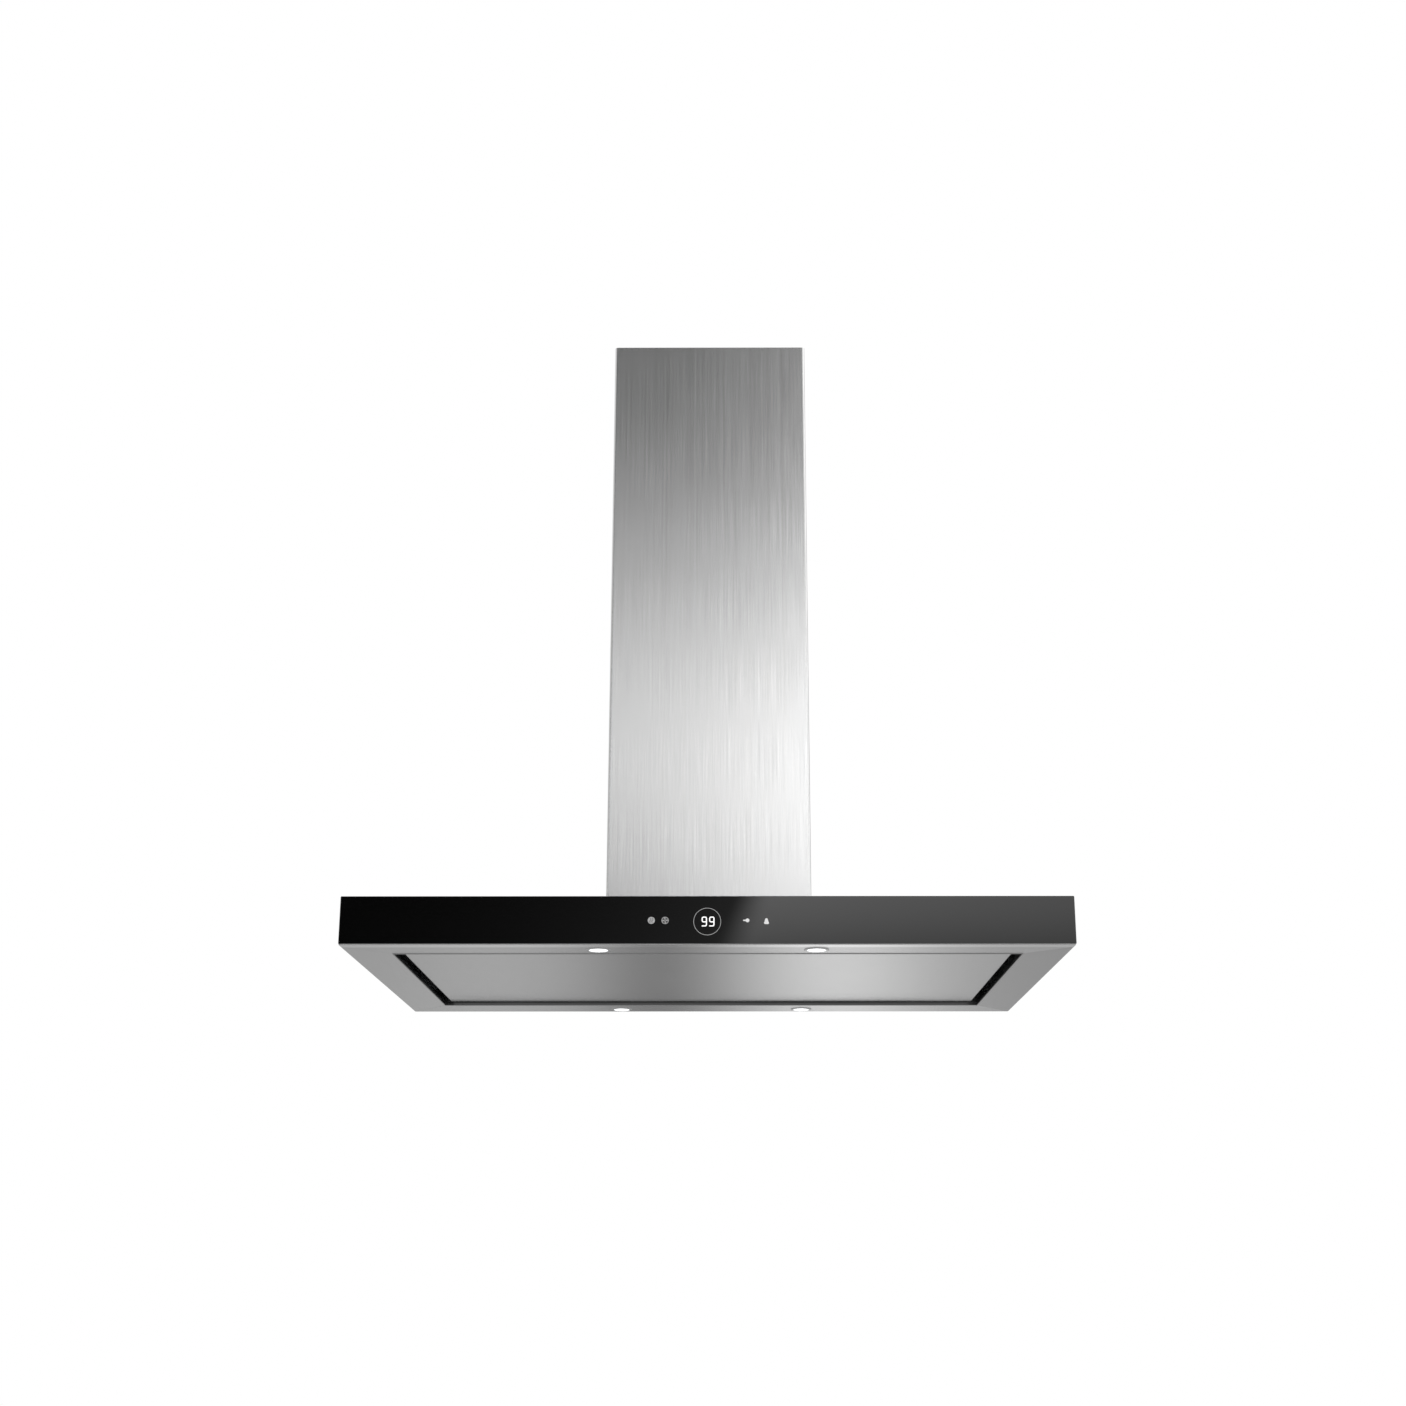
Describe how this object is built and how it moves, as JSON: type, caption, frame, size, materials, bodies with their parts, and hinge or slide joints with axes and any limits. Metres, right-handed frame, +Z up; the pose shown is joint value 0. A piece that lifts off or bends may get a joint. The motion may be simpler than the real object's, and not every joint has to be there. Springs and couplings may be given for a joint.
{
  "type": "island range hood",
  "caption": "Ceiling-hung island extractor hood with a square telescopic chimney, flat canopy, black glass front and a hinged perimeter suction panel.",
  "frame": {"origin": "centre of the four ceiling anchor holes, on the ceiling plate's top face", "axes": "+X to the right, -Y to the front where the glass and the touch controls are, +Z up into the ceiling"},
  "size_m": [0.9, 0.6, 0.8912],
  "materials": {
    "stainless_cover": "vertical brushed grain",
    "stainless_canopy": "brushed grain along the long side",
    "stainless_rim": "brushed grain along each rail",
    "black_glass": "polished black",
    "galvanised": "galvanised spangle",
    "zinc_screw": "zinc plated",
    "filter_aluminium": "satin",
    "black_plastic": "fine texture",
    "white_plastic": "fine texture",
    "grey_plastic": "fine texture",
    "lamp_bezel": "satin chrome",
    "lamp_lens": "frosted",
    "circuit_board": "solder mask",
    "motor_steel": "dark paint"
  },
  "bodies": {
    "ceiling_mount": {"ceiling_plate": "galvanised", "upper_legs": "galvanised", "upper_chimney_front": "stainless_cover", "upper_chimney_rear": "stainless_cover", "cover_clips": "galvanised"},
    "hood": {"blower_housing_left": "black_plastic", "blower_housing_right": "black_plastic", "cable_gland": "black_plastic", "canopy_shell": "stainless_canopy", "chimney_seam_strips": "galvanised", "clamp_bolts": "zinc_screw", "control_board": "circuit_board", "control_box": "white_plastic", "control_box_lid": "white_plastic", "display_module": "circuit_board", "duct_collar": "black_plastic", "filter_deck": "galvanised", "filter_left_frame": "filter_aluminium", "filter_left_mesh": "filter_aluminium", "filter_rails": "galvanised", "filter_right_frame": "filter_aluminium", "filter_right_mesh": "filter_aluminium", "flap_pin": "zinc_screw", "frame_feet": "galvanised", "front_glass": "black_glass", "front_trim": "stainless_rim", "hinge_brackets": "galvanised", "inlet_ring_left": "grey_plastic", "inlet_ring_right": "grey_plastic", "lamp_driver": "white_plastic", "lamp_housings_front": "lamp_bezel", "lamp_housings_rear": "lamp_bezel", "lamp_lenses_front": "lamp_lens", "lamp_lenses_rear": "lamp_lens", "lower_chimney_front": "stainless_cover", "lower_chimney_rear": "stainless_cover", "lower_legs": "galvanised", "magnetic_catches": "black_plastic", "motor_box": "galvanised", "motor_bracket": "zinc_screw", "motor_capacitor": "white_plastic", "motor_housing": "motor_steel", "rim_front": "stainless_rim", "rim_left": "stainless_rim", "rim_rear": "stainless_rim", "rim_right": "stainless_rim", "terminal_box": "grey_plastic", "terminal_box_lid": "grey_plastic"},
    "panel": {"panel_skin": "stainless_canopy", "panel_inner_pan": "galvanised", "panel_hinge_lugs": "zinc_screw", "hinge_pins": "zinc_screw", "catch_keepers": "zinc_screw"},
    "filter_left_slide": {"filter_left_latch": "black_plastic"},
    "filter_right_slide": {"filter_right_latch": "black_plastic"},
    "impeller": {"impeller_wheel": "grey_plastic", "impeller_blades": "grey_plastic", "motor_shaft": "zinc_screw"},
    "flap_front": {"flap_front": "grey_plastic"},
    "flap_rear": {"flap_rear": "grey_plastic"}
  },
  "joints": [
    {"name": "height_slide", "type": "slide", "parent": "ceiling_mount", "child": "hood", "axis": [0, 0, -1], "range_m": [0, 0.3]},
    {"name": "panel_hinge", "type": "hinge", "parent": "hood", "child": "panel", "pos_m": [0, 0.208, -0.871], "axis": [1, 0, 0], "range_deg": [0, 85]},
    {"name": "filter_left_latch_slide", "type": "slide", "parent": "hood", "child": "filter_left_slide", "axis": [0, 1, 0], "range_m": [0, 0.006], "stiffness_N_per_m": 300, "springref_m": -0.01},
    {"name": "filter_right_latch_slide", "type": "slide", "parent": "hood", "child": "filter_right_slide", "axis": [0, 1, 0], "range_m": [0, 0.006], "stiffness_N_per_m": 300, "springref_m": -0.01},
    {"name": "impeller_spin", "type": "hinge", "parent": "hood", "child": "impeller", "pos_m": [0, -0.012, -0.69], "axis": [1, 0, 0], "continuous": true},
    {"name": "front_flap_hinge", "type": "hinge", "parent": "hood", "child": "flap_front", "pos_m": [0, 0, -0.51], "axis": [1, 0, 0], "range_deg": [-80, 0]},
    {"name": "rear_flap_hinge", "type": "hinge", "parent": "hood", "child": "flap_rear", "pos_m": [0, 0, -0.51], "axis": [1, 0, 0], "range_deg": [0, 80]}
  ]
}
